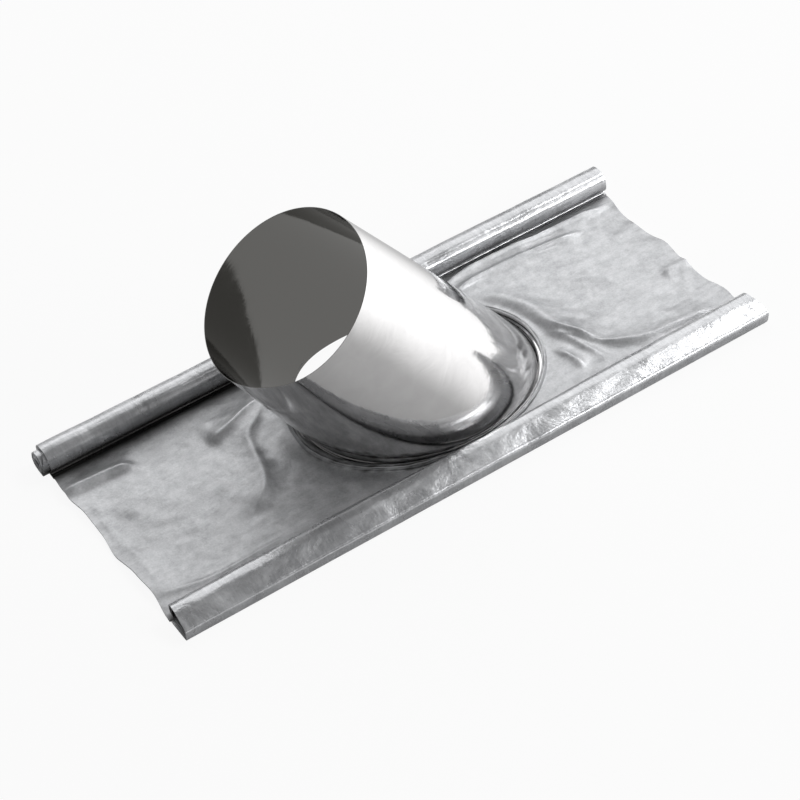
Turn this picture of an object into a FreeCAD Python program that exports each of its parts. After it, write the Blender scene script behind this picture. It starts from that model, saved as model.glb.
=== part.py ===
"""Pipe flashing boot: a leaning stainless collar locked into a lead apron whose long sides are rolled up.

Millimetres, +Z up. X runs along the apron's long side, the collar leans towards -X (up the roof).
The origin is the middle of the rectangle that the rolled-up apron covers, on the surface it lies on.
"""
import FreeCAD, Part
import math
import os

V = FreeCAD.Vector

doc = FreeCAD.newDocument("pipe_flashing_boot")

# ---------------------------------------------------------------- driving dimensions
SIZES = [
    ("apron_length", 600.0, "apron along X, end edge to end edge"),
    ("apron_width", 264.0, "apron across Y with both sides rolled up"),
    ("lead_thickness", 1.5, "lead sheet"),
    ("front_roll_width", 32.0, "flattened roll on the -Y side"),
    ("front_roll_height", 20.0, "flattened roll on the -Y side"),
    ("front_roll_faces", 13, "flat faces wound, five to a turn"),
    ("back_roll_width", 29.0, "rounder roll on the +Y side"),
    ("back_roll_height", 28.0, "rounder roll on the +Y side"),
    ("back_roll_faces", 14, "flat faces wound, six to a turn"),
    ("turn_gap", 0.7, "air between two turns of a roll"),
    ("roll_overrun", 6.0, "how far a roll's outer turn runs past the right edge of the field"),
    ("core_slip", 6.0, "how far the back roll's inner turns have slipped out on the left"),
    ("rim_radius", 82.0, "outside of the collar's rim"),
    ("cone_taper", 0.053, "growth of the collar's radius for each millimetre down its axis"),
    ("steel_thickness", 0.6, "stainless sheet"),
    ("lean_angle", 34.2, "collar axis from upright, degrees"),
    ("collar_length", 204.0, "along the axis, from the floor to the rim's centre"),
    ("axis_offset", 13.0, "X where the collar axis meets the floor"),
    ("heel_flange", 13.4, "collar wall's foot to the outside of the seam, on the side it leans to"),
    ("toe_flange", 7.2, "collar wall's foot to the outside of the seam, on the far side"),
    ("side_flange", 4.8, "collar wall's foot to the outside of the seam, at the sides"),
    ("seam_lift", 1.2, "underside of the lead round the hole, above the floor"),
    ("seam_height", 6.0, "seam bead, above the underside of the lead round the hole"),
    ("fit_clearance", 0.15, "between steel and lead inside the seam"),
]
sheet = doc.addObject("Spreadsheet::Sheet", "Sizes")
for row, (alias, value, note) in enumerate(SIZES, start=1):
    sheet.set("A%d" % row, note)
    sheet.set("B%d" % row, str(value))
    sheet.setAlias("B%d" % row, alias)
doc.recompute()


def size(alias):
    """The present value of one named dimension, as a plain number."""
    return float(getattr(sheet, alias))


# Sizes that follow from the sheet, as expressions.
# The seam from outside to inside is lead bead, steel leg, lead lip: insets from the bead's outside.
LEG_OUTSIDE = "(Sizes.lead_thickness + Sizes.fit_clearance)"
LEG_INSIDE = "(Sizes.lead_thickness + Sizes.fit_clearance + Sizes.steel_thickness)"
SLOT_OUTSIDE = "Sizes.lead_thickness"
SLOT_INSIDE = "(Sizes.lead_thickness + 2 * Sizes.fit_clearance + Sizes.steel_thickness)"
LIP_INSIDE = "(2 * Sizes.lead_thickness + 2 * Sizes.fit_clearance + Sizes.steel_thickness)"
SEAM_TOP = "(Sizes.seam_lift + Sizes.seam_height)"
SLOT_TOP = "(Sizes.seam_lift + Sizes.seam_height - Sizes.lead_thickness)"
LIP_BOTTOM = "(Sizes.seam_lift + Sizes.steel_thickness + Sizes.lead_thickness)"

# The oval where the leaning cone meets the level of the lead: its reach each way from the axis, along X.
COS, SIN, TAPER = "cos(Sizes.lean_angle)", "sin(Sizes.lean_angle)", "Sizes.cone_taper"
WALL_LENGTH = "(Sizes.collar_length - Sizes.seam_lift / %s)" % COS
FOOT_RADIUS = "(Sizes.rim_radius + %s * %s)" % (TAPER, WALL_LENGTH)
FOOT_X = "(Sizes.axis_offset - Sizes.seam_lift * tan(Sizes.lean_angle))"
TOE_REACH = "(%s / (%s - %s * %s))" % (FOOT_RADIUS, COS, TAPER, SIN)
HEEL_REACH = "(%s / (%s + %s * %s))" % (FOOT_RADIUS, COS, TAPER, SIN)
OVAL_SHIFT = "((%s - %s) / 2)" % (TOE_REACH, HEEL_REACH)
SIDE_REACH = "sqrt((%s + %s * %s * %s) ^ 2 - (%s * %s) ^ 2)" % (
    FOOT_RADIUS, OVAL_SHIFT, TAPER, SIN, OVAL_SHIFT, COS)

# The outside of the seam bead in plan.
SEAM_X = "(%s + (%s + Sizes.toe_flange - %s - Sizes.heel_flange) / 2)" % (FOOT_X, TOE_REACH, HEEL_REACH)
SEAM_HALF_LENGTH = "((%s + Sizes.toe_flange + %s + Sizes.heel_flange) / 2)" % (TOE_REACH, HEEL_REACH)
SEAM_HALF_WIDTH = "(%s + Sizes.side_flange)" % SIDE_REACH


def seam_prism(name, inset, bottom, top):
    """A solid with the seam's plan outline, drawn in by an inset, between two heights."""
    outline = doc.addObject("Part::Ellipse", name + "_outline")
    outline.setExpression("MajorRadius", "%s - %s" % (SEAM_HALF_LENGTH, inset))
    outline.setExpression("MinorRadius", "%s - %s" % (SEAM_HALF_WIDTH, inset))
    outline.setExpression("Placement.Base.x", SEAM_X)
    outline.setExpression("Placement.Base.z", bottom)
    prism = doc.addObject("Part::Extrusion", name)
    prism.Base = outline
    prism.DirMode = "Custom"
    prism.Dir = V(0, 0, 1)
    prism.Solid = True
    prism.setExpression("LengthFwd", "%s - %s" % (top, bottom))
    return prism


def combine(kind, name, parts):
    """A boolean of two or more objects: Part::Cut, Part::Fuse, Part::Common or Part::MultiFuse."""
    result = doc.addObject(kind, name)
    if kind == "Part::MultiFuse":
        result.Shapes = parts
    else:
        result.Base, result.Tool = parts
    return result


# ---------------------------------------------------------------- collar
def leaning_cone(name, wall):
    """The cone from the tilted rim down past the floor, drawn in by a wall."""
    past_floor = "(Sizes.rim_radius * 2)"
    cone = doc.addObject("Part::Cone", name)
    cone.setExpression("Radius1", "Sizes.rim_radius + %s * (Sizes.collar_length + %s) - %s" % (
        TAPER, past_floor, wall))
    cone.setExpression("Radius2", "Sizes.rim_radius - %s" % wall)
    cone.setExpression("Height", "Sizes.collar_length + %s" % past_floor)
    cone.Placement = FreeCAD.Placement(V(), FreeCAD.Rotation(V(0, 1, 0), -size("lean_angle")))
    cone.setExpression("Placement.Base.x", "Sizes.axis_offset + %s * %s" % (past_floor, SIN))
    cone.setExpression("Placement.Base.z", "-%s * %s" % (past_floor, COS))
    return cone


def make_collar():
    """A leaning tapered tube with a turned-out foot, whose edge stands up inside the seam."""
    below = doc.addObject("Part::Box", "below_the_foot")
    for side in ("Length", "Width", "Height"):
        below.setExpression(side, "4 * Sizes.collar_length")
    below.setExpression("Placement.Base.x", "-2 * Sizes.collar_length")
    below.setExpression("Placement.Base.y", "-2 * Sizes.collar_length")
    below.setExpression("Placement.Base.z", "Sizes.seam_lift - 4 * Sizes.collar_length")
    wall = combine("Part::Cut", "leaning_wall", [leaning_cone("cone_outside", "0"), below])
    pan = combine("Part::Cut", "foot_pan", [
        seam_prism("pan_outside", LEG_OUTSIDE, "Sizes.seam_lift", "(%s - Sizes.fit_clearance)" % SLOT_TOP),
        seam_prism("pan_inside", LEG_INSIDE, "(Sizes.seam_lift + Sizes.steel_thickness)", SEAM_TOP)])
    skin = combine("Part::Fuse", "collar_skin", [pan, wall])
    collar = combine("Part::Cut", "collar", [skin, leaning_cone("cone_inside", "Sizes.steel_thickness")])
    collar.Label = "collar"
    return collar


# ---------------------------------------------------------------- rolls
# Faces of one turn: the angle of the outward normal in degrees, from the apron's outward direction, and
# the shares of the roll's half width and half height that give the face's distance from the core.
FRONT_TURN = [(-90, 0.0, 1.0), (-6, 1.0, 0.0), (64, 0.46, 0.10), (96, 0.0, 1.0), (180, 1.0, 0.0)]
BACK_TURN = [(-90, 0.0, 1.0), (-32, 0.6, 0.4), (30, 0.6, 0.4), (92, 0.0, 1.0), (146, 0.6, 0.4), (204, 0.6, 0.4)]


class Roll:
    """The section of one rolled-up side, in a plane with x outwards from the apron and y upwards."""

    def __init__(self, side, faces, bend, direction):
        self.half_width = size(side + "_roll_width") / 2
        self.half_height = size(side + "_roll_height") / 2
        self.core = V(size("apron_width") / 2 - self.half_width, self.half_height, 0)
        self.direction = direction
        self.half_lead = size("lead_thickness") / 2
        self.last = int(size(side + "_roll_faces"))
        self.turn = len(faces)
        pitch = size("lead_thickness") + size("turn_gap")
        self.normals = []
        self.reaches = []
        for count in range(self.last + 2):
            angle, width_share, height_share = faces[count % self.turn]
            radians = math.radians(angle)
            self.normals.append(V(math.cos(radians), math.sin(radians), 0))
            self.reaches.append(width_share * self.half_width + height_share * self.half_height
                                - self.half_lead - pitch * (count // self.turn))
        self.bends = [min(bend, self.largest_bend(count)) for count in range(self.last)]

    def corner(self, count, offset=0.0):
        """Where face number count meets the next one, both moved outwards by an offset."""
        a, b = self.normals[count], self.normals[count + 1]
        reach_a = self.core.dot(a) + self.reaches[count] + offset
        reach_b = self.core.dot(b) + self.reaches[count + 1] + offset
        spread = a.x * b.y - a.y * b.x
        return V((reach_a * b.y - reach_b * a.y) / spread, (a.x * reach_b - b.x * reach_a) / spread, 0)

    def middle(self, count):
        """The middle of a face, or the seam with the field on the first one."""
        if count == 0:
            return V(self.join(), self.half_lead, 0)
        return (self.corner(count - 1) + self.corner(count)) * 0.5

    def join(self):
        """How far out the roll's strip takes over from the field: under the roll, past its inner edge."""
        return self.core.x - 0.75 * self.half_width

    def half_turning(self, count):
        return self.normals[count].getAngle(self.normals[count + 1]) / 2

    def largest_bend(self, count):
        """The bend radius that still leaves both faces beside a corner some length."""
        before = self.corner(count).distanceToPoint(self.middle(count))
        after = self.corner(count).distanceToPoint(self.middle(count + 1))
        return 0.9 * min(before, after) / math.tan(self.half_turning(count))

    def side_of_strip(self, first, last, offset):
        """Edges along one side of the lead, from the middle of one face to the middle of another."""
        place = self.placed
        edges = []
        here = self.middle(first) + self.normals[first] * offset
        for count in range(first, last):
            before, after = self.normals[count], self.normals[count + 1]
            radius = self.bends[count] + offset
            run = radius * math.tan(self.half_turning(count))
            bend_start = self.corner(count, offset) - V(-before.y, before.x, 0) * run
            bend_end = self.corner(count, offset) + V(-after.y, after.x, 0) * run
            outwards = (before + after).normalize()
            bend_middle = bend_start - before * radius + outwards * radius
            edges.append(Part.LineSegment(place(here), place(bend_start)).toShape())
            edges.append(Part.Arc(place(bend_start), place(bend_middle), place(bend_end)).toShape())
            here = bend_end
        there = self.middle(last) + self.normals[last] * offset
        edges.append(Part.LineSegment(place(here), place(there)).toShape())
        return edges, place(self.middle(first) + self.normals[first] * offset), place(there)

    def placed(self, point):
        return V(0, self.direction * point.x, point.y)

    def strip(self, first, last):
        """A face of lead thickness that follows the winding between two faces' middles."""
        outside, outside_start, outside_end = self.side_of_strip(first, last, self.half_lead)
        inside, inside_start, inside_end = self.side_of_strip(first, last, -self.half_lead)
        caps = [Part.LineSegment(outside_start, inside_start).toShape(),
                Part.LineSegment(outside_end, inside_end).toShape()]
        return Part.Face(Part.Wire(Part.__sortEdges__(outside + inside + caps)))


FRONT = Roll("front", FRONT_TURN, 3.5, -1)
BACK = Roll("back", BACK_TURN, 8.0, 1)


def wound_strip(name, roll, first, last, left, right):
    """A stretch of the winding, extruded along X between two ends given as expressions."""
    profile = doc.addObject("Part::Feature", name + "_section")
    profile.Shape = roll.strip(first, last)
    strip = doc.addObject("Part::Extrusion", name)
    strip.Base = profile
    strip.DirMode = "Custom"
    strip.Dir = V(1, 0, 0)
    strip.Solid = True
    strip.setExpression("LengthFwd", right)
    strip.setExpression("LengthRev", left)
    return strip


# ---------------------------------------------------------------- field between the rolls
# Folds dressed into the lead: height and half width in millimetres, then the fold's path as shares of the
# apron's half length (from the middle to the right) and half width (from the middle to the back).
FOLDS = [
    (7.5, 11.0, [(-0.37, 0.50), (-0.47, 0.455), (-0.57, 0.41)]),
    (7.0, 10.0, [(-0.38, 0.46), (-0.46, 0.29), (-0.49, 0.12), (-0.50, -0.03), (-0.58, -0.28), (-0.63, -0.34)]),
    (5.5, 10.0, [(-1.00, 0.65), (-0.88, 0.66), (-0.75, 0.72)]),
    (5.5, 8.0, [(0.35, 0.82), (0.55, 0.81), (0.70, 0.77), (0.95, 0.71)]),
    (8.0, 10.0, [(0.40, 0.38), (0.47, 0.17), (0.51, 0.00), (0.59, -0.36), (0.66, -0.51), (0.84, -0.58), (0.95, -0.61)]),
    (4.0, 6.0, [(0.43, -0.24), (0.46, -0.46), (0.47, -0.58)]),
]
# Where the net of points that carries the sheet has its columns: close together across the folds.
COLUMNS = [-1.0, -0.91, -0.83, -0.76, -0.7, -0.65, -0.61, -0.57, -0.53, -0.49, -0.45, -0.41, -0.36, -0.28, -0.14,
           0.0, 0.14, 0.28, 0.36, 0.41, 0.44, 0.47, 0.5, 0.53, 0.57, 0.61, 0.66, 0.72, 0.8, 0.9, 1.0]
ROWS = 21


def ease(share):
    """A smooth step from 0 to 1 as the share goes from 0 to 1."""
    share = min(max(share, 0.0), 1.0)
    return share * share * (3 - 2 * share)


def distance_to_path(point, path):
    """Shortest distance in plan from a point to a chain of straight pieces."""
    shortest = 1e9
    for a, b in zip(path, path[1:]):
        along = (point - a).dot(b - a) / (b - a).dot(b - a)
        nearest = a + (b - a) * min(max(along, 0.0), 1.0)
        shortest = min(shortest, point.distanceToPoint(nearest))
    return shortest


def field_height(point, paths, seam):
    """Underside of the lead above the floor: level round the seam, flat at the rolls, folded between."""
    inner_edge = min(point.y + FRONT.join(), BACK.join() - point.y)
    from_seam = math.hypot((point.x - seam.Placement.Base.x) / seam.MajorRadius.Value,
                           point.y / seam.MinorRadius.Value) - 1
    free = ease(from_seam / 0.2 - 0.2) * ease(inner_edge / 14)
    folds = sum(height * math.exp(-(distance_to_path(point, path) / half_width) ** 2)
                for (height, half_width, _), path in zip(FOLDS, paths))
    ripple = 0.5 * (1 + math.sin(point.x / 31) * math.cos(point.y / 27))
    level = size("seam_lift") * (1 - ease(from_seam / 0.4)) * ease(inner_edge / 5)
    return level + free * (folds + ripple)


def end_wave(across):
    """How far the cut end of the lead wanders from a straight line, as the share across goes -1 to 1."""
    return 2.0 * math.sin(5.3 * across + 0.8) * (1 - across * across)


def field_net(seam, lift):
    """Rows of points over the folded sheet, raised by a lift."""
    half_length, half_width = size("apron_length") / 2, size("apron_width") / 2
    paths = [[V(u * half_length, v * half_width, 0) for u, v in path] for _, _, path in FOLDS]
    middle = (BACK.join() - FRONT.join()) / 2
    reach = (BACK.join() + FRONT.join()) / 2
    net = []
    for along in COLUMNS:
        column = []
        for row in range(ROWS):
            across = -1 + 2 * row / (ROWS - 1)
            point = V(along * (half_length + end_wave(across)), middle + reach * across, 0)
            point.z = field_height(point, paths, seam) + lift
            column.append(point)
        net.append(column)
    return net


def flat_face(corners):
    return Part.Face(Part.makePolygon(corners + corners[:1]))


def net_facets(net):
    """Two flat triangles for every square of the net, creased along the more level diagonal."""
    facets = []
    for left, right in zip(net, net[1:]):
        for a, b, c, d in zip(left, right, right[1:], left[1:]):
            if abs(a.z - c.z) < abs(b.z - d.z):
                facets += [flat_face([a, b, c]), flat_face([a, c, d])]
            else:
                facets += [flat_face([a, b, d]), flat_face([b, c, d])]
    return facets


def net_border(net):
    """The net's outermost points in order round its edge."""
    return ([column[0] for column in net] + net[-1][1:] + [column[-1] for column in net[-2::-1]]
            + net[0][-2:0:-1])


def field_solid(seam):
    """Two parallel creased skins closed round their border."""
    under, over = field_net(seam, 0.0), field_net(seam, size("lead_thickness"))
    low, high = net_border(under), net_border(over)
    walls = [flat_face([low[i - 1], low[i], high[i], high[i - 1]]) for i in range(len(low))]
    shell = Part.makeShell(net_facets(under) + net_facets(over) + walls)
    shell.sewShape()
    solid = Part.makeSolid(shell)
    if solid.Volume < 0:
        solid.reverse()
    return solid


# ---------------------------------------------------------------- apron
def make_hem():
    """The bead of lead folded over the collar's upstanding edge, open underneath for it."""
    bottom = "(Sizes.seam_lift + 0.6 * Sizes.lead_thickness)"
    ring = combine("Part::Cut", "bead_ring", [
        seam_prism("bead_outside", "0", bottom, SEAM_TOP),
        seam_prism("bead_bore", LIP_INSIDE, "0", "(%s + 1)" % SEAM_TOP)])
    doc.recompute()
    top = size("seam_lift") + size("seam_height")
    bevel = 0.6 * size("lead_thickness")
    rounded = doc.addObject("Part::Chamfer", "bead_rounded")
    rounded.Base = ring
    rounded.Edges = [(number, bevel, bevel) for number, edge in enumerate(ring.Shape.Edges, start=1)
                     if edge.BoundBox.ZMin > top - 0.01]
    slot = combine("Part::Cut", "steel_slot", [
        seam_prism("slot_outside", SLOT_OUTSIDE, "0", SLOT_TOP),
        seam_prism("slot_inside", SLOT_INSIDE, LIP_BOTTOM, SEAM_TOP)])
    return combine("Part::Cut", "hem", [rounded, slot])


def make_apron():
    """One sheet of lead: field, hem round the collar, and both sides rolled up on top of it."""
    hole = seam_prism("hole", "Sizes.lead_thickness / 2", "-Sizes.seam_height", "(2 * %s)" % SEAM_TOP)
    doc.recompute()
    field = doc.addObject("Part::Feature", "field_sheet")
    field.Shape = field_solid(hole.Base)
    opened = combine("Part::Cut", "field_opened", [field, hole])
    half, over, slip = "Sizes.apron_length / 2", "Sizes.roll_overrun", "Sizes.core_slip"
    front = wound_strip("front_roll", FRONT, 0, FRONT.last, half, "%s + %s" % (half, over))
    back = wound_strip("back_roll", BACK, 0, BACK.turn, half, "%s + %s" % (half, over))
    core = wound_strip("back_core", BACK, BACK.turn, BACK.last, "%s + %s" % (half, slip), half)
    apron = combine("Part::MultiFuse", "lead_apron", [opened, make_hem(), front, back, core])
    apron.Label = "lead_apron"
    return apron


# ---------------------------------------------------------------- build, check and write
def check_document():
    """Every object has computed without a fault and holds a valid shape."""
    for item in doc.Objects:
        faults = [state for state in item.State if state in ("Invalid", "Error")]
        if faults:
            raise RuntimeError("%s did not build: %s" % (item.Name, faults))
        if hasattr(item, "Shape") and (item.Shape.isNull() or not item.Shape.isValid()):
            raise RuntimeError("%s has no valid shape" % item.Name)


def write_steps(nodes):
    os.makedirs("parts", exist_ok=True)
    for node in nodes:
        node.Shape.exportStep(os.path.join("parts", node.Label + ".step"))
        print("%-12s %2d solid(s) %12.1f mm3" % (node.Label, len(node.Shape.Solids), node.Shape.Volume))


nodes = [make_collar(), make_apron()]
doc.recompute()
check_document()
write_steps(nodes)
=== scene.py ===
"""Looks of the pipe flashing boot: polished stainless collar, dressed and rolled lead apron, studio stage.

Shapes are worked out in millimetres in the part's own frame and written to the meshes in metres.
"""

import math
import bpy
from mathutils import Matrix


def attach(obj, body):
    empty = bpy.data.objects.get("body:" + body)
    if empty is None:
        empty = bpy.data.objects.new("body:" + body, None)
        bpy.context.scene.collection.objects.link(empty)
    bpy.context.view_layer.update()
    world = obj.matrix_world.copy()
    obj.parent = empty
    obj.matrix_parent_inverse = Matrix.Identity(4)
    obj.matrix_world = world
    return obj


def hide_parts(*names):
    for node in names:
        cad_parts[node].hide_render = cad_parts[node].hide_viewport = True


bl_info = {
    "name": "Pipe flashing boot",
    "version": (1, 0, 0),
    "blender": (4, 5, 0),
    "location": "View3D > Sidebar > Boot",
    "description": "Builds a leaning stainless pipe collar in a dressed lead apron with rolled-up sides",
    "category": "Add Mesh",
}

import bpy
import numpy as np
from bpy.props import FloatProperty, StringProperty
from mathutils import Matrix, Vector

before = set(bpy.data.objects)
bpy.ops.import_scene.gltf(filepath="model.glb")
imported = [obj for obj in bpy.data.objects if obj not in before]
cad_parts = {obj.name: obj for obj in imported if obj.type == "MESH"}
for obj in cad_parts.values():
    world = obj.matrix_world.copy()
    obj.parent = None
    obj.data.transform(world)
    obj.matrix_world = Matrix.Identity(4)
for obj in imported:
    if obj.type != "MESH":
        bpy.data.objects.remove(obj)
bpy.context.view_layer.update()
MM = 0.001
LEAD_NAME = "Milled sheet lead"

# ---------------------------------------------------------------- sizes that the pieces share, in millimetres
LEAN = math.radians(34.2)
AXIS = np.array([-math.sin(LEAN), 0.0, math.cos(LEAN)])
ACROSS = np.array([math.cos(LEAN), 0.0, math.sin(LEAN)])
SIDE = np.array([0.0, 1.0, 0.0])
AXIS_FOOT = np.array([13.0, 0.0, 0.0])
SEAM_CENTRE = np.array([13.1, 0.0])
SEAM_HALF = np.array([122.5, 97.3])
SEAM_CLEARANCE = 0.15
MEAN_SEAM_RADIUS = 110.0
LEAD_THICK = 1.5
STEEL_THICK = 0.6
FLANGE_TOP = 1.8
FIELD_HALF_LENGTH = 299.0
FIELD_FRONT = -104.0
FIELD_BACK = 107.0
# The far left of the seam stands off the roof: by how much, at which angle round the oval, and how wide.
RAISED, RAISED_AT, RAISED_WIDTH = 13.0, 2.25, 0.62
# Angles are drawn from 0 to this, about one turn.
ABOUT_A_TURN = 6.28


# ---------------------------------------------------------------- numbers
def smooth(share):
    """Smooth step: 3 s squared minus 2 s cubed, with s held between 0 and 1."""
    share = np.clip(share, 0.0, 1.0)
    return share * share * (3 - 2 * share)


def wobble(along, seed, finest, waves=5):
    """A repeatable wandering line, about -1 to 1: a sum of sines, each 1.7 times as long as the last."""
    rng = np.random.default_rng(seed)
    total = np.zeros_like(along, dtype=float)
    for count in range(waves):
        length = finest * 1.7 ** count
        total += np.sin(along / length + rng.uniform(0, ABOUT_A_TURN)) * rng.uniform(0.5, 1.0)
    return total / math.sqrt(waves)


def ripple(x, y, seed, waves, shortest, longest):
    """A repeatable uneven surface: a sum of plane sine waves of random heading and length, about -1 to 1."""
    rng = np.random.default_rng(seed)
    total = np.zeros_like(x, dtype=float)
    for _ in range(waves):
        heading = rng.uniform(0, ABOUT_A_TURN)
        length = rng.uniform(shortest, longest) / ABOUT_A_TURN
        phase = rng.uniform(0, ABOUT_A_TURN)
        total += np.sin((x * math.cos(heading) + y * math.sin(heading)) / length + phase)
    return total / math.sqrt(waves)


def flowing_line(points, steps=5):
    """A Catmull-Rom curve through the points: each stretch is a cubic set by its ends and neighbours."""
    points = np.asarray(points, float)
    padded = np.vstack([2 * points[0] - points[1], points, 2 * points[-1] - points[-2]])
    t = np.linspace(0, 1, steps, endpoint=False)[:, None]
    pieces = []
    for a, b, c, d in zip(padded, padded[1:], padded[2:], padded[3:]):
        pieces.append(0.5 * (2 * b + (c - a) * t + (2 * a - 5 * b + 4 * c - d) * t ** 2
                             + (3 * b - a - 3 * c + d) * t ** 3))
    return np.vstack(pieces + [points[-1:]])


def cut_corners(points, rounds=3, share=0.18):
    """Chaikin's rule: every stretch keeps only its middle part, so that the line's corners become curves."""
    for _ in range(rounds):
        a, b = points[:-1], points[1:]
        inner = np.stack([a + (b - a) * share, b + (a - b) * share], axis=1).reshape(-1, points.shape[1])
        points = np.vstack([points[:1], inner, points[-1:]])
    return points


def from_line(x, y, line):
    """Signed distance in plan to a line of straight pieces, left positive, and the share along it."""
    nearest = np.full(x.shape, 1e9)
    side = np.zeros(x.shape)
    share = np.zeros(x.shape)
    lengths = np.linalg.norm(np.diff(line, axis=0), axis=1)
    starts = np.concatenate([[0.0], np.cumsum(lengths)])
    for start, a, b, length in zip(starts, line, line[1:], lengths):
        direction = (b - a) / length
        along = np.clip((x - a[0]) * direction[0] + (y - a[1]) * direction[1], 0, length)
        dx, dy = x - a[0] - direction[0] * along, y - a[1] - direction[1] * along
        distance = np.hypot(dx, dy)
        closer = distance < nearest
        nearest = np.where(closer, distance, nearest)
        side = np.where(closer, np.sign(direction[0] * dy - direction[1] * dx), side)
        share = np.where(closer, (start + along) / starts[-1], share)
    return nearest * np.where(side == 0, 1, side), share


# ---------------------------------------------------------------- meshes
def grid_quads(rows, columns, wrapped, offset=0):
    """Corner numbers of every square of a grid whose points are numbered row by row."""
    ends = columns if wrapped else columns - 1
    row, column = np.meshgrid(np.arange(rows - 1), np.arange(ends), indexing="ij")
    following = (column + 1) % columns
    quads = np.stack([row * columns + column, row * columns + following,
                      (row + 1) * columns + following, (row + 1) * columns + column], axis=-1)
    return quads.reshape(-1, 4) + offset


def strip_quads(front, back, closed):
    """Squares that join two equally long rows of corner numbers, as along the cut edge of a sheet."""
    if closed:
        front, back = np.append(front, front[0]), np.append(back, back[0])
    return np.stack([front[:-1], back[:-1], back[1:], front[1:]], axis=-1)


def normals_of(grid, wrapped):
    """Unit normals of a grid of points: the cross product of its column and row differences."""
    if wrapped:
        along = np.roll(grid, -1, axis=1) - np.roll(grid, 1, axis=1)
    else:
        along = np.gradient(grid, axis=1)
    down = np.gradient(grid, axis=0)
    normal = np.cross(along, down)
    return normal / np.maximum(np.linalg.norm(normal, axis=-1, keepdims=True), 1e-9)


def sheet_solid(front, back, wrapped):
    """Corners and squares of a bent sheet: two skins of the same grid, closed along their edges.

    The front skin faces along columns x rows, and the back skin faces the other way."""
    rows, columns = front.shape[:2]
    count = rows * columns
    numbers = np.arange(count).reshape(rows, columns)
    quads = [grid_quads(rows, columns, wrapped), grid_quads(rows, columns, wrapped, count)[:, ::-1],
             strip_quads(numbers[0], numbers[0] + count, wrapped),
             strip_quads(numbers[-1], numbers[-1] + count, wrapped)[:, ::-1]]
    if not wrapped:
        quads += [strip_quads(numbers[:, 0], numbers[:, 0] + count, False)[:, ::-1],
                  strip_quads(numbers[:, -1], numbers[:, -1] + count, False)]
    return np.vstack([front.reshape(-1, 3), back.reshape(-1, 3)]), np.vstack(quads)


def add_object(name, data):
    """A new object that holds the data, linked to the scene, at the origin."""
    added = bpy.data.objects.new(name, data)
    bpy.context.scene.collection.objects.link(added)
    return added


def new_piece(name, corners, quads, material, sharp_degrees, **shades):
    """A smooth-shaded mesh object in the part's frame, with named per-corner values for its material."""
    mesh = bpy.data.meshes.new(name)
    mesh.vertices.add(len(corners))
    mesh.vertices.foreach_set("co", (corners * MM).ravel().astype(np.float32))
    mesh.loops.add(quads.size)
    mesh.loops.foreach_set("vertex_index", quads.ravel().astype(np.int32))
    mesh.polygons.add(len(quads))
    mesh.polygons.foreach_set("loop_start", np.arange(0, quads.size, 4, dtype=np.int32))
    mesh.update(calc_edges=True)
    mesh.polygons.foreach_set("use_smooth", np.ones(len(quads), bool))
    mesh.set_sharp_from_angle(angle=math.radians(sharp_degrees))
    for shade, values in shades.items():
        attribute = mesh.attributes.new(shade, "FLOAT", "POINT")
        attribute.data.foreach_set("value", np.asarray(values, np.float32).ravel())
    if mesh.validate():
        raise RuntimeError("%s had faulty faces" % name)
    mesh.materials.append(material)
    piece = add_object(name, mesh)
    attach(piece, "root")
    return piece


# ---------------------------------------------------------------- materials
def linear(code):
    """An sRGB hex colour as the linear colour that a shader takes."""
    channels = [int(code[i:i + 2], 16) / 255 for i in (1, 3, 5)]
    return [c / 12.92 if c <= 0.04045 else ((c + 0.055) / 1.055) ** 2.4 for c in channels] + [1.0]


def add_node(tree, kind, settings=(), **inputs):
    """A shader node with its settings, whose inputs are given values or linked from other nodes' outputs.

    An input is named by its label with underscores for spaces, or by its number, as in in0."""
    node = tree.nodes.new("ShaderNode" + kind)
    for name, value in dict(settings).items():
        setattr(node, name, value)
    for name, value in inputs.items():
        key = int(name[2:]) if name.startswith("in") and name[2:].isdigit() else name.replace("_", " ")
        if isinstance(value, bpy.types.NodeSocket):
            tree.links.new(value, node.inputs[key])
        else:
            node.inputs[key].default_value = value
    return node


def blank_material(name):
    """A new material with only its output node."""
    material = bpy.data.materials.new(name)
    material.use_nodes = True
    material.node_tree.nodes.clear()
    return material, material.node_tree, material.node_tree.nodes.new("ShaderNodeOutputMaterial")


def object_place(tree):
    """The coordinates that patterns are laid out in: the object's own, in metres."""
    return tree.nodes.new("ShaderNodeTexCoord").outputs["Object"]


def scaled_place(tree, stretch):
    """Object coordinates stretched by three factors, for streaks."""
    return add_node(tree, "Mapping", Vector=object_place(tree), Scale=stretch).outputs[0]


def times(tree, value, factor):
    """A value multiplied by a factor."""
    return add_node(tree, "Math", {"operation": "MULTIPLY"}, in0=value, in1=factor).outputs[0]


def times_plus(tree, value, factor, rest):
    """A value multiplied by a factor and added to the rest."""
    return add_node(tree, "Math", {"operation": "MULTIPLY_ADD"}, in0=value, in1=factor, in2=rest).outputs[0]


def from_to(tree, value, old, new, curve="LINEAR"):
    """A value moved from its old range to a new one."""
    return add_node(tree, "MapRange", {"interpolation_type": curve}, Value=value, From_Min=old[0],
                    From_Max=old[1], To_Min=new[0], To_Max=new[1]).outputs[0]


def colour_ramp(tree, value, low, high):
    """A ramp between two stops, each a position and a hex colour."""
    shade = add_node(tree, "ValToRGB", Fac=value)
    for stop, (position, code) in zip(shade.color_ramp.elements, (low, high)):
        stop.position, stop.color = position, linear(code)
    return shade.outputs[0]


def named_value(tree, name):
    """What a mesh says for each corner under a name."""
    return add_node(tree, "Attribute", {"attribute_name": name}).outputs["Fac"]


def per_mm(size):
    """Texture scale on metre coordinates for a pattern of that size in millimetres."""
    return 1000.0 / size


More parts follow.
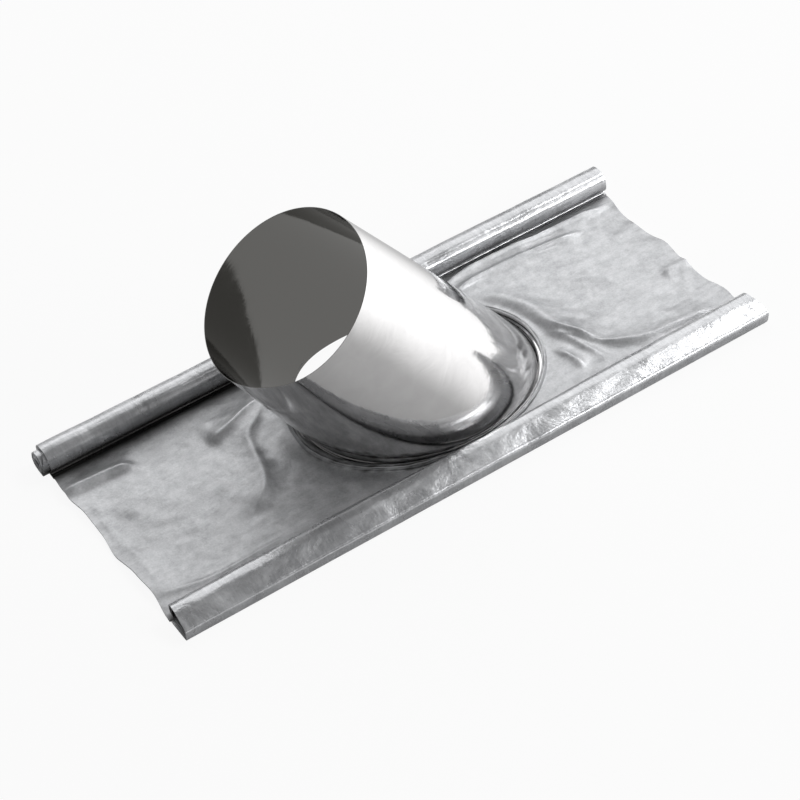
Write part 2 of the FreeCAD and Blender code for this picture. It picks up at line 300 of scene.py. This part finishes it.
def sheet_lead():
    """Milled lead sheet, handled and slightly oxidised: dull grey metal, cloudy patches, faint mill lines.

    Oxide clouds are some 40 mm across with 9 mm mottling inside. Where the rubbed attribute is set, as on the
    rolls, the bloom is worn off, and scratches some 1 mm apart run round the roll."""
    if LEAD_NAME in bpy.data.materials:
        return bpy.data.materials[LEAD_NAME]
    material, tree, output = blank_material(LEAD_NAME)
    boot = bpy.context.scene.boot
    place = object_place(tree)
    clouds = add_node(tree, "TexNoise", Vector=place, Scale=per_mm(42), Detail=4.0, Roughness=0.62,
                      Distortion=0.6).outputs[0]
    mottle = add_node(tree, "TexNoise", Vector=place, Scale=per_mm(9), Detail=5.0, Roughness=0.7).outputs[0]
    grain = add_node(tree, "TexNoise", Vector=place, Scale=per_mm(1.6), Detail=3.0, Roughness=0.6).outputs[0]
    streaks = add_node(tree, "TexNoise", Vector=scaled_place(tree, (0.12, 1.0, 1.0)), Scale=per_mm(5),
                       Detail=4.0, Roughness=0.7).outputs[0]
    scratches = add_node(tree, "TexNoise", Vector=scaled_place(tree, (1.0, 0.08, 0.08)), Scale=per_mm(1.3),
                         Detail=4.0, Roughness=0.75).outputs[0]
    tone = times(tree, clouds, 0.42)
    for pattern, weight in ((mottle, 0.31), (streaks, 0.14), (grain, 0.19)):
        tone = times_plus(tree, pattern, weight, tone)
    rubbed = named_value(tree, "rubbed")
    tone = add_node(tree, "Mix", {"data_type": "FLOAT"}, Factor=times(tree, rubbed, 0.28), A=tone,
                    B=scratches)
    shade = colour_ramp(tree, tone.outputs[0], (0.42, boot.lead_dark), (0.64, boot.lead_light))
    # This mix darkens the lead by a per-corner value: painted shade under the rolls, in the hem's groove and
    # along the seam, mixed with patchy real dirt.
    colour = add_node(tree, "Mix", {"data_type": "RGBA"}, Factor=named_value(tree, "grime"), A=shade,
                      B=linear(boot.lead_grime))
    roughness = times_plus(tree, rubbed, -0.19, from_to(tree, clouds, (0.3, 0.7), (0.40, 0.56)))
    fine = add_node(tree, "Bump", Strength=0.35, Distance=0.0006, Height=mottle)
    lines = add_node(tree, "Bump", Strength=0.3, Distance=0.0004, Height=streaks, Normal=fine.outputs[0])
    dents = add_node(tree, "Bump", Strength=0.5, Distance=0.002, Height=clouds, Normal=lines.outputs[0])
    shader = add_node(tree, "BsdfPrincipled", Base_Color=colour.outputs["Result"], Roughness=roughness,
                      Normal=dents.outputs[0], Metallic=0.72)
    tree.links.new(shader.outputs[0], output.inputs[0])
    return material


def polished_stainless():
    """Bright-annealed stainless sheet: a near mirror, a little hazy.

    The haze patches are some 25 mm across, like wiped fingermarks. The bore, marked by a per-corner value,
    is tinted a darker, warmer grey: painted shade for the inside of the collar."""
    material, tree, output = blank_material("Polished stainless sheet")
    haze = add_node(tree, "TexNoise", Vector=object_place(tree), Scale=per_mm(26), Detail=5.0, Roughness=0.6,
                    Distortion=1.0).outputs[0]
    bright = colour_ramp(tree, haze, (0.3, "#d1d0d0"), (0.7, "#c9c8c8"))
    tint = add_node(tree, "Mix", {"data_type": "RGBA"}, Factor=named_value(tree, "dulled"), A=bright,
                    B=linear("#908f8c"))
    waver = add_node(tree, "Bump", Strength=0.05, Distance=0.002, Height=haze)
    shader = add_node(tree, "BsdfPrincipled", Base_Color=tint.outputs["Result"], Metallic=1.0,
                      Roughness=from_to(tree, haze, (0.35, 0.7), (0.055, 0.11)), Normal=waver.outputs[0])
    tree.links.new(shader.outputs[0], output.inputs[0])
    return material


def studio_paper():
    """Matt white paper floor: it keeps the object's shadow, looks white, and gleams at a shallow angle.

    Metal sees plain grey paper close by, its bright sheen far off, and a dim floor inside the collar."""
    material, tree, output = blank_material("Studio paper")
    boot = bpy.context.scene.boot
    white = (1, 1, 1, 1)
    path = tree.nodes.new("ShaderNodeLightPath")
    facing = add_node(tree, "LayerWeight", Blend=0.5).outputs["Facing"]
    shallow = from_to(tree, facing, (0.48, 0.86), (0.0, boot.sheen), "SMOOTHSTEP")
    glint = times(tree, shallow, path.outputs["Is Glossy Ray"])
    sheen = add_node(tree, "Emission", Color=white, Strength=glint)
    paper = add_node(tree, "BsdfDiffuse", Color=linear(boot.paper))
    open_floor = add_node(tree, "AddShader", in0=paper.outputs[0], in1=sheen.outputs[0])
    # The oval of the seam and a margin as a unit circle, so that a length below 1 lies within it.
    margin = 12
    inside = add_node(tree, "Mapping", {"vector_type": "TEXTURE"}, Vector=object_place(tree),
                      Location=(*SEAM_CENTRE * MM, 0), Scale=(*(SEAM_HALF + margin) * MM, 1))
    length = add_node(tree, "VectorMath", {"operation": "LENGTH"}, in0=inside.outputs[0]).outputs["Value"]
    within = add_node(tree, "Math", {"operation": "LESS_THAN"}, in0=length, in1=1.0)
    dim = add_node(tree, "Emission", Color=white, Strength=boot.inside)
    plain = add_node(tree, "MixShader", Fac=within.outputs[0], in1=open_floor.outputs[0], in2=dim.outputs[0])
    seen = add_node(tree, "Emission", Color=white, Strength=1.0)
    mixed = add_node(tree, "MixShader", Fac=times(tree, path.outputs["Is Camera Ray"], 0.92),
                     in1=plain.outputs[0], in2=seen.outputs[0])
    tree.links.new(mixed.outputs[0], output.inputs[0])
    return material


# ---------------------------------------------------------------- collar
def cone_point(around, along, radius_change=0.0):
    """A point of the leaning cone: foot + distance along its axis + radius turned by the angle.

    The radius is the rim's, plus a change, plus the taper for what is left up to the rim."""
    boot = bpy.context.scene.boot
    radius = boot.rim_radius / MM + radius_change + boot.taper * (boot.collar_length / MM - along)
    return (AXIS_FOOT + along[..., None] * AXIS + (radius * np.cos(around))[..., None] * ACROSS
            + (radius * np.sin(around))[..., None] * SIDE)


def cone_meets_level(around, level):
    """How far along the axis the cone's wall crosses a level: z of the point solved for the distance."""
    boot = bpy.context.scene.boot
    reach = (boot.rim_radius + boot.taper * boot.collar_length) / MM
    return (level - reach * np.cos(around) * math.sin(LEAN)) / (
        math.cos(LEAN) - boot.taper * np.cos(around) * math.sin(LEAN))


def raised(around):
    """How far the foot stands above the roof on its far left side: a bell curve round the oval."""
    off = np.mod(around - RAISED_AT + math.pi, 2 * math.pi) - math.pi
    return RAISED * np.exp(-(off / RAISED_WIDTH) ** 2)


def seam_point(around, inset, height):
    """A point of the oval seam: centre + half lengths less the inset, times the angle's cosine and sine."""
    return np.stack([SEAM_CENTRE[0] + (SEAM_HALF[0] - inset) * np.cos(around),
                     SEAM_CENTRE[1] + (SEAM_HALF[1] - inset) * np.sin(around),
                     np.broadcast_to(height, around.shape) + raised(around)], axis=-1)


def seam_angle(x, y):
    """Angle round the oval of a point in plan: its two offsets from the centre, each over the half length."""
    return np.arctan2(y / SEAM_HALF[1], (x - SEAM_CENTRE[0]) / SEAM_HALF[0])


def wall_gap(around, level=5.5):
    """Distance in plan from the seam's outside in to the collar's wall at a level, for seam angles."""
    turns = np.linspace(0, 2 * math.pi, 721)
    wall = cone_point(turns, cone_meets_level(turns, level + raised(turns)))[:, :2] - SEAM_CENTRE
    angles = np.arctan2(wall[:, 1] / SEAM_HALF[1], wall[:, 0] / SEAM_HALF[0])
    gaps = np.linalg.norm(seam_point(angles, 0, 0)[:, :2] - SEAM_CENTRE - wall, axis=1)
    return np.interp(around, angles, gaps, period=2 * math.pi)


def collar_skin(columns=420, wall_rows=70, cove_rows=6, flange_rows=3):
    """The collar's outer face as a grid: down the wall, round the tight cove, along the flange, up the leg.

    Wall rows step evenly from rim to foot; the cove is a quadratic curve between wall and flange. The wall is
    0.5 mm out of round halfway down, and pressed in by up to 2.6 mm at the near left of the rim."""
    around = np.linspace(2 * math.pi, 0, columns, endpoint=False)
    foot = cone_meets_level(around, FLANGE_TOP + raised(around))
    corner = cone_point(around, foot)
    leg_inset = LEAD_THICK + SEAM_CLEARANCE + STEEL_THICK / 2
    leg = seam_point(seam_angle(corner[:, 0], corner[:, 1]), leg_inset, FLANGE_TOP)
    room = np.linalg.norm(leg - corner, axis=1)
    cove = np.minimum(1.6, 0.45 * room)
    top = bpy.context.scene.boot.collar_length / MM
    rows = []
    for share in np.linspace(0, 1, wall_rows):
        along = top + (foot + cove - top) * share
        dent = 0.5 * np.sin(2 * around + 0.6) * smooth(share * 3) * smooth((1 - share) * 3)
        flat = -2.6 * np.exp(-((around - 3.75) / 0.42) ** 2) * (1 - smooth(share * 1.6))
        rows.append(cone_point(around, along, dent + flat))
    start = rows[-1]
    out = corner + (leg - corner) * (cove / room)[:, None]
    for share in np.linspace(0, 1, cove_rows + 1)[1:]:
        rows.append(start * (1 - share) ** 2 + corner * 2 * share * (1 - share) + out * share ** 2)
    for share in np.linspace(0, 1, flange_rows + 1)[1:]:
        rows.append(out + (leg - out) * 0.97 * share)
    for height in (0.4, 3.6):
        rows.append(leg + np.array([0, 0, height]))
    return np.stack(rows)


class BOOT_OT_collar(bpy.types.Operator):
    """Builds the polished collar: leaning wall, turned-out flange and the edge that stands in the seam"""
    bl_idname = "boot.collar"
    bl_label = "Collar"

    def execute(self, context):
        outer = collar_skin()
        normals = normals_of(outer, wrapped=True)
        corners, quads = sheet_solid(outer, outer - normals * STEEL_THICK, wrapped=True)
        # The inner skin takes the darker tint: painted shade for the bore.
        dulled = np.repeat([0.0, 1.0], len(corners) // 2)
        piece = new_piece("collar_sheet", corners, quads, polished_stainless(),
                          sharp_degrees=50, dulled=dulled)
        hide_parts("collar")
        return {"FINISHED"}


# ---------------------------------------------------------------- lead field and seam
# Folds dressed or creased into the sheet: height, slope lengths on the left and on the right of the line
# (walking along it), sharpness of the crest, and the line's points.
FOLDS = [
    (6.5, 7.0, 15.0, 1.2, [(-104, 70), (-122, 66), (-140, 60), (-158, 55), (-174, 52)]),
    (6.0, 7.0, 14.0, 1.2, [(-106, 64), (-122, 52), (-139, 38), (-146, 16), (-150, -4), (-158, -23),
                           (-173, -37), (-190, -46)]),
    (1.0, 6.0, 11.0, 1.5, [(-232, 80), (-241, 66), (-252, 50), (-262, 30), (-266, 8)]),
    (7.0, 9.0, 4.5, 1.5, [(-306, 77), (-275, 76), (-255, 75), (-232, 73)]),
    (2.0, 4.0, 5.0, 1.2, [(-292, -76), (-269, -82), (-234, -85), (-160, -84)]),
    (1.6, 4.0, 4.0, 1.2, [(-287, 52), (-289, 10), (-286, -30), (-289, -72)]),
    (7.0, 5.0, 3.5, 1.2, [(104, 92), (124, 97), (150, 98), (190, 96), (235, 93), (280, 90), (304, 88)]),
    (6.0, 5.0, 3.5, 1.2, [(104, 76), (126, 82), (150, 83), (185, 81), (220, 78), (262, 74)]),
    (8.0, 18.0, 5.0, 1.2, [(112, 54), (126, 38), (138, 18), (146, -6), (152, -22), (163, -42), (175, -62)]),
    (5.0, 13.0, 4.0, 1.3, [(160, -46), (174, -62), (193, -75), (214, -82), (256, -86), (287, -88)]),
    (5.0, 8.0, 5.0, 1.2, [(124, -18), (127, -28), (134, -44), (139, -62), (142, -80)]),
    (4.2, 7.0, 5.0, 1.2, [(132, 20), (134, 10), (140, -14), (150, -36), (158, -62), (166, -84)]),
    (-1.6, 4.0, 4.0, 1.4, [(246, -62), (260, -60), (272, -61)]),
    (4.0, 7.0, 6.0, 1.3, [(270, -20), (286, -22), (304, -23)]),
    (0.9, 11.0, 11.0, 1.4, [(-215, 20), (-232, -2), (-242, -36)]),
    (1.6, 10.0, 7.0, 1.3, [(200, 30), (225, 12), (236, -14)]),
    (1.8, 8.0, 8.0, 1.4, [(300, 58), (280, 50), (262, 52)]),
]


def fold_height(x, y):
    """Sum of the folds: each is a ridge, height x exp(-(distance / slope length) to the power sharpness)."""
    total = np.zeros_like(x)
    for height, left, right, sharpness, points in FOLDS:
        distance, share = from_line(x, y, flowing_line(points))
        width = np.where(distance > 0, left, right)
        tapered = smooth((1 - share) * 5) * (0.35 + 0.65 * smooth(share * 5))
        total += height * tapered * np.exp(-np.abs(distance / width) ** sharpness)
    return total


def field_height(x, y, outset):
    """Top of the sheet: level by the seam and rolls, folds and uneven ground between, fluttering ends."""
    beside = np.minimum(y - FIELD_FRONT, FIELD_BACK - y)
    free = smooth((outset - 3) / 16) * smooth(beside / 7)
    broad = ripple(x, y, seed=11, waves=12, shortest=45, longest=170)
    short = ripple(x, y, seed=12, waves=14, shortest=14, longest=34)
    uneven = 1.3 + 0.75 * broad + 0.2 * short
    to_end = FIELD_HALF_LENGTH - np.abs(x)
    flutter = (1.4 + 1.4 * np.sin(y / 14.5 + np.sign(x)) + 0.4 * np.sin(y / 6.3)) * np.exp(-to_end / 22)
    lift = 1.2 * (1 - smooth(outset / 40)) * smooth(beside / 5)
    lift += raised(seam_angle(x, y)) * np.exp(-np.maximum(outset - 2, 0) / 15) * smooth(beside / 5)
    return LEAD_THICK + lift + free * np.maximum(fold_height(x, y) + uneven + flutter, 0.05)


def border_points(columns):
    """Points round the sheet's rectangle, clockwise from the middle of its right end."""
    half_x, low, high = FIELD_HALF_LENGTH, FIELD_FRONT, FIELD_BACK
    corners = np.array([[half_x, 0], [half_x, low], [-half_x, low], [-half_x, high], [half_x, high],
                        [half_x, 0]], float)
    lengths = np.concatenate([[0], np.cumsum(np.linalg.norm(np.diff(corners, axis=0), axis=1))])
    # The long sides lie close to the seam and under the rolls, so the ends get more of the points.
    weights = np.array([1.9, 0.55, 1.9, 0.55, 1.9]) * np.diff(lengths)
    marks = np.concatenate([[0], np.cumsum(weights)])
    wanted = np.linspace(0, marks[-1], columns, endpoint=False)
    along = np.interp(wanted, marks, lengths)
    return np.stack([np.interp(along, lengths, corners[:, axis]) for axis in (0, 1)], axis=-1)


# Section of the hem from its inner edge, up over the collar's standing edge and down to the field: how far
# each point is drawn in from the seam's outside, its height, its share of the dressing in, and its darkening
# (painted shade in the groove between the ridges and by the wall, and dirt).
HEM = [
    (3.9, 2.6, 1.0, 0.6), (3.9, 4.4, 1.0, 0.25), (3.75, 5.3, 0.75, 0.1), (3.3, 5.8, 0.4, 0.2),
    (2.75, 5.7, 0.1, 0.8), (2.45, 4.9, 0.0, 1.0), (2.2, 4.8, 0.0, 1.0), (1.9, 5.9, 0.0, 0.4),
    (1.3, 6.6, 0.0, 0.0), (0.75, 6.2, 0.0, 0.1), (0.5, 5.0, 0.0, 0.45), (0.2, 4.9, 0.0, 0.25),
    (-0.1, 4.2, 0.0, 0.1), (-0.25, 3.3, 0.0, 0.5), (-0.8, 2.85, 0.0, 0.25), (-2.2, 2.7, 0.0, 0.05),
]


def hem_rings(around):
    """The hem's section carried round the oval, ring by ring, with each ring's darkening: dirt and painted
    shade.

    The near left is dressed in to the wall, worked less evenly and darker, with more dirt and more painted
    shade; the ridges at the right are pressed towards one height."""
    arc = around * MEAN_SEAM_RADIUS
    turned = np.mod(around, 2 * math.pi)
    # Dressed right in, the hem's inner edge comes to within 0.7 mm of the wall: 3.9 mm are its own inset.
    dressed = np.exp(-((turned - 4.0) / 0.95) ** 4) * np.maximum(wall_gap(around) - 4.6, 0)
    near_left = np.exp(-((turned - 4.1) / 0.85) ** 2)
    pressed = 0.6 * np.exp(-(around / 1.3) ** 2)
    rings, grime = [], []
    for count, (inset, height, reach, shade_and_dirt) in enumerate(HEM):
        worked = 1 if 1 < count < len(HEM) - 2 else 0
        height = height + worked * pressed * (5.6 - height)
        sideways = worked * (0.26 + 0.2 * near_left) * wobble(arc, 21 + count // 8, 3.4)
        upwards = worked * (0.28 + 0.25 * near_left) * wobble(arc, 31 + count // 6, 2.6)
        rings.append(seam_point(around, inset + dressed * reach + sideways, height + upwards))
        # Darker in the hem's groove and where it meets the wall: painted shade, with patchy dirt along it.
        patchy = shade_and_dirt + 0.1 + 0.35 * wobble(arc, 25 + count // 4, 1.9)
        grime.append(np.clip(patchy * (0.22 + 0.88 * near_left), 0, 1))
    return rings, grime


def field_rings(border, start, rows=76):
    """Rings that blend from the oval to the rectangle and take their height from the folds, with their
    darkening.

    The cut ends wander by up to 1.9 mm. Painted shade darkens the sheet where it runs under both rolls, most
    at the left of the back one, and a little by the seam."""
    ends = border.copy()
    on_end = np.abs(np.abs(border[:, 0]) - FIELD_HALF_LENGTH) < 1e-6
    ends[:, 0] += np.where(on_end, 1.5 * np.sin(border[:, 1] / 15.0 + 0.6 * np.sign(border[:, 0]))
                           + 0.4 * np.sin(border[:, 1] / 6.9), 0)
    rings, grime = [], []
    for share in np.linspace(0, 1, rows)[1:] ** 1.15:
        plan = start + (ends - start) * share
        x, y = plan[:, 0], plan[:, 1]
        outset = np.linalg.norm(plan - start, axis=1) + 2.0
        rings.append(np.column_stack([plan, field_height(x, y, outset)]))
        # Painted shade: the sheet is darkened where it runs under the back roll (most at the left), under the
        # front roll, and next to the seam.
        shade_under_back = np.exp(-np.maximum(FIELD_BACK - y, 0) / 8.5) * (0.3 + 0.7 * smooth(-x / 90))
        shade_under_front = 0.8 * np.exp(-np.maximum(y - FIELD_FRONT, 0) / 4.0)
        grime.append(np.clip(0.12 * np.exp(-outset / 6) + 1.2 * shade_under_back + shade_under_front, 0, 1))
    return rings, grime


def apron_skin(columns=470):
    """The visible skin of hem and field as one grid of rings, from the hem's inner edge out to the border."""
    border = border_points(columns)
    hem, hem_grime = hem_rings(seam_angle(border[:, 0], border[:, 1]))
    field, field_grime = field_rings(border, hem[-1][:, :2])
    return np.stack(hem + field), np.stack(hem_grime + field_grime)


class BOOT_OT_field(bpy.types.Operator):
    """Builds the flat part of the lead sheet with its folds, and the hem locked over the collar's edge"""
    bl_idname = "boot.field"
    bl_label = "Lead field and seam"

    def execute(self, context):
        skin, grime = apron_skin()
        normals = normals_of(skin, wrapped=True)
        normals[len(HEM):] = np.array([0, 0, 1.0])
        corners, quads = sheet_solid(skin, skin - normals * LEAD_THICK, wrapped=True)
        piece = new_piece("lead_field", corners, quads, sheet_lead(), sharp_degrees=60,
                          grime=np.concatenate([grime, grime]), rubbed=np.zeros(len(corners)))
        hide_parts("lead_apron")
        return {"FINISHED"}


# ---------------------------------------------------------------- rolls
# One turn of each roll as seen from its end, outwards from the apron's middle and up; the last point is where
# the next turn begins.
FRONT_TURN = [(104, 0.8), (118, 0.8), (129.4, 0.9), (131.0, 3.0), (131.4, 10.6), (130.2, 12.8), (121, 17.2),
              (113.5, 20.1), (105, 20.3), (98.6, 17.4), (96.8, 7.0), (98.6, 3.4)]
BACK_TURN = [(107, 0.8), (120, 0.8), (129, 4.2), (132.4, 12.0), (131.4, 20.0), (127.0, 26.0), (119.0, 28.0),
             (111.0, 26.6), (105.4, 21.2), (104.0, 10.4), (107, 5.6), (112, 3.4)]
# How many turns each roll has, and how far each turn is drawn in from the one outside it.
FRONT_TURNS, FRONT_PITCH = 2.7, 2.3
BACK_TURNS, BACK_PITCH = 5.0, 2.0
BACK_MIDDLE = (118.4, 14.2)
CORE_RADIUS = 0.9


def wound_line(turn, turns, pitch):
    """A flattened spiral: the turn's points drawn towards its middle by the pitch for every turn."""
    turn = np.asarray(turn, float)
    middle = (turn.max(axis=0) + turn.min(axis=0)) / 2
    count = np.arange(int(round(len(turn) * turns)))
    arms = turn[count % len(turn)] - middle
    reach = np.linalg.norm(arms, axis=1)
    drawn = np.maximum(reach - pitch * (count // len(turn) + (count % len(turn)) / len(turn)), CORE_RADIUS)
    return cut_corners(middle + arms / reach[:, None] * drawn[:, None])


def wound_roll(line, side, ends, stations, shape):
    """The spiral carried along X: station by station the line is reshaped, then given the lead's thickness.

    Each point's two ends along X come from the ends function, so that the turns don't finish flush."""
    left, right = ends(np.linspace(0, 1, len(line)))
    share = np.linspace(0, 1, stations)[:, None]
    x = left + (right - left) * share
    out, up = shape(x, np.broadcast_to(line[:, 0], x.shape), np.broadcast_to(line[:, 1], x.shape))
    middle = np.stack([x, side * out, up], axis=-1)
    normals = normals_of(middle, wrapped=False)
    return middle + normals * LEAD_THICK / 2, middle - normals * LEAD_THICK / 2


def make_roll(name, line, side, ends, shape, stations):
    """One rolled-up side of the sheet as a closed piece, darker low on its inner side, most at the left:
    painted shade where the roll meets the sheet.
    """
    front, back = wound_roll(line, side, ends, stations, shape)
    corners, quads = sheet_solid(front, back, wrapped=False)
    inner_edge = line[:, 0].min()
    # Painted shade low on the roll's inner side, where it meets the sheet, most at the left.
    crevice_shade = smooth((19 - corners[:, 2]) / 12) * smooth((inner_edge + 9 - side * corners[:, 1]) / 5)
    crevice_shade *= 0.15 + 0.75 * smooth(-corners[:, 0] / 90)
    piece = new_piece(name, corners, quads, sheet_lead(), sharp_degrees=60,
                      grime=crevice_shade, rubbed=np.ones(len(corners)))
    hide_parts("lead_apron")


class BOOT_OT_front_roll(bpy.types.Operator):
    """Builds the flattened roll on the near side, pressed aside by the seam halfway along"""
    bl_idname = "boot.front_roll"
    bl_label = "Front roll"

    def execute(self, context):
        def ends(share):
            outer_edge = np.exp(-((share * FRONT_TURNS - 0.42) / 0.22) ** 2)
            return -299.5 + 3.0 * smooth(share * 3) - 1.5 * np.sin(share * 9), 300.8 + 4.6 * outer_edge

        def shape(x, out, up):
            pressed = 3.0 * np.exp(-((x - 20) / 95) ** 2) * smooth((112 - out) / 14)
            dent = 0.35 * wobble(x + 2.0 * out, 31, 7.0) * smooth(up / 6)
            side_dent = 0.35 * wobble(x, 32, 11.0) * smooth(up / 8) * smooth((out - 112) / 14)
            return out + pressed - np.abs(side_dent), np.maximum(up + dent - 0.4, 0.75)

        make_roll("front_roll", wound_line(FRONT_TURN, FRONT_TURNS, FRONT_PITCH), -1, ends, shape, 150)
        return {"FINISHED"}


class BOOT_OT_back_roll(bpy.types.Operator):
    """Builds the rounder roll on the far side, its core slipped out at the left end"""
    bl_idname = "boot.back_roll"
    bl_label = "Back roll"

    def execute(self, context):
        def ends(share):
            slipped = smooth((share - 0.30) / 0.06)
            return -298.5 - 6.5 * slipped + 0.4 * np.sin(share * 40), 305.5 - 1.5 * smooth(share * 4)

        def shape(x, out, up):
            slimmer = 1 - 0.06 * (x + 300) / 600
            middle_out, middle_up = BACK_MIDDLE
            dent = 0.3 * wobble(x + 1.5 * up, 41, 8.0) * smooth((up - 4) / 8)
            return (middle_out + (out - middle_out) * slimmer,
                    np.maximum(middle_up * slimmer + (up - middle_up) * slimmer + dent, 0.75))

        make_roll("back_roll", wound_line(BACK_TURN, BACK_TURNS, BACK_PITCH), 1, ends, shape, 95)
        return {"FINISHED"}


# ---------------------------------------------------------------- stage
def add_light(name, place, aim, size, watts):
    """A plain rectangular soft light at a place in metres, turned to face its aim."""
    lamp = bpy.data.lights.new(name, "AREA")
    lamp.shape = "RECTANGLE"
    lamp.size, lamp.size_y = size
    lamp.energy = watts
    turn = (Vector(aim) - Vector(place)).to_track_quat("-Z", "Y").to_matrix().to_4x4()
    add_object(name, lamp).matrix_world = Matrix.Translation(place) @ turn


def add_camera():
    """A long lens from the near left, looking down, rolled a little.

    It stands at its target plus the distance times the vector that points back from the target."""
    turn, rise, roll = (math.radians(angle) for angle in (-28.847, 42.926, -7.252))
    target, distance = Vector((-8.09, -3.95, 0)) * MM, 2.118
    back = Vector((math.sin(turn) * math.cos(rise), -math.cos(turn) * math.cos(rise), math.sin(rise)))
    right = (-back).cross(Vector((0, 0, 1))).normalized()
    up = right.cross(-back)
    rolled_right = right * math.cos(roll) + up * math.sin(roll)
    rolled_up = up * math.cos(roll) - right * math.sin(roll)
    lens = bpy.data.cameras.new("camera")
    lens.lens, lens.sensor_width, lens.clip_end = 108.04, 36.0, 50.0
    camera = add_object("camera", lens)
    facing = Matrix((rolled_right, rolled_up, back)).transposed().to_4x4()
    camera.matrix_world = Matrix.Translation(target + back * distance) @ facing
    bpy.context.scene.camera = camera


def add_floor():
    """A sheet of paper 12 m wide, a hair below the part so that the two don't share a face."""
    half, below = 6000.0, -0.2
    corners = np.array([[-half, -half, below], [half, -half, below],
                        [half, half, below], [-half, half, below]])
    mesh = bpy.data.meshes.new("floor")
    mesh.from_pydata((corners * MM).tolist(), [], [(0, 1, 2, 3)])
    mesh.materials.append(studio_paper())
    add_object("floor", mesh)


def room_air(strength):
    """A world that is white to the camera and dim grey to everything else."""
    world = bpy.data.worlds.new("Studio air")
    world.use_nodes = True
    air = world.node_tree
    air.nodes.clear()
    path = air.nodes.new("ShaderNodeLightPath")
    dim = add_node(air, "Background", Color=linear("#b8b8b8"), Strength=strength)
    white = add_node(air, "Background", Color=(1, 1, 1, 1), Strength=1.0)
    mixed = add_node(air, "MixShader", Fac=path.outputs["Is Camera Ray"], in1=dim.outputs[0],
                     in2=white.outputs[0])
    output = air.nodes.new("ShaderNodeOutputWorld")
    air.links.new(mixed.outputs[0], output.inputs[0])
    return world


class BOOT_OT_stage(bpy.types.Operator):
    """Lays the paper floor, sets the soft lights, the world and the camera"""
    bl_idname = "boot.stage"
    bl_label = "Stage"

    def execute(self, context):
        add_floor()
        boot = context.scene.boot
        add_light("back_softbox", (0.9, 1.5, 1.6), (0.1, 0, 0), (3.0, 1.8), boot.back_light)
        add_light("top_softbox", (1.85, -0.35, 2.2), (0.2, 0, 0), (0.9, 0.6), boot.top_light)
        add_light("front_softbox", (1.25, -1.5, 0.95), (0.2, 0, 0), (0.9, 0.7), boot.front_light)
        add_camera()
        context.scene.world = room_air(boot.air)
        context.scene.view_settings.view_transform = "Standard"
        return {"FINISHED"}


# ---------------------------------------------------------------- add-on
class BootSettings(bpy.types.PropertyGroup):
    """What a user would change: the collar's sizes, the lead's colours and the light"""
    rim_radius: FloatProperty(name="Rim radius", description="Outside of the collar's rim", default=0.082,
                              unit="LENGTH", subtype="DISTANCE")
    collar_length: FloatProperty(name="Collar length", description="Along the axis, floor to rim",
                                 default=0.204, unit="LENGTH", subtype="DISTANCE")
    taper: FloatProperty(name="Taper", description="Growth of the radius for each unit down the axis",
                         default=0.053)
    lead_dark: StringProperty(name="Lead, dark", description="Oxidised patches", default="#999a9c")
    lead_light: StringProperty(name="Lead, light", description="Rubbed metal", default="#c4c5c7")
    # This colour darkens the lead as dirt, and also as painted shade under the rolls and in the seam's
    # groove.
    lead_grime: StringProperty(name="Grime", description="Dirt in the seam's grooves", default="#3c3a38")
    paper: StringProperty(name="Paper", description="Colour of the floor", default="#cacaca")
    sheen: FloatProperty(name="Paper sheen", description="Brightness at a shallow angle", default=1.15, min=0)
    inside: FloatProperty(name="Floor inside", description="Brightness of the floor inside the collar",
                          default=0.43, min=0)
    back_light: FloatProperty(name="Back light", description="Softbox behind", default=32, min=0)
    top_light: FloatProperty(name="Top light", description="Softbox above, to the right", default=28, min=0)
    front_light: FloatProperty(name="Front light", description="Softbox, near right", default=20, min=0)
    air: FloatProperty(name="Room light", description="Brightness of the room", default=0.55, min=0)


OPERATORS = (BOOT_OT_collar, BOOT_OT_field, BOOT_OT_front_roll, BOOT_OT_back_roll, BOOT_OT_stage)


class BOOT_PT_panel(bpy.types.Panel):
    """Sidebar panel with the boot's settings and its building steps"""
    bl_idname = "BOOT_PT_panel"
    bl_label = "Pipe flashing boot"
    bl_space_type = "VIEW_3D"
    bl_region_type = "UI"
    bl_category = "Boot"

    def draw(self, context):
        for name in BootSettings.__annotations__:
            self.layout.prop(context.scene.boot, name)
        for operator in OPERATORS:
            self.layout.operator(operator.bl_idname)


CLASSES = (BootSettings, *OPERATORS, BOOT_PT_panel)


def register():
    for cls in CLASSES:
        bpy.utils.register_class(cls)
    bpy.types.Scene.boot = bpy.props.PointerProperty(type=BootSettings)


def unregister():
    del bpy.types.Scene.boot
    for cls in reversed(CLASSES):
        bpy.utils.unregister_class(cls)


def main():
    """Registers the add-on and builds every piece."""
    register()
    bpy.ops.boot.collar()
    bpy.ops.boot.field()
    bpy.ops.boot.front_roll()
    bpy.ops.boot.back_roll()
    bpy.ops.boot.stage()


if __name__ == "__main__":
    main()
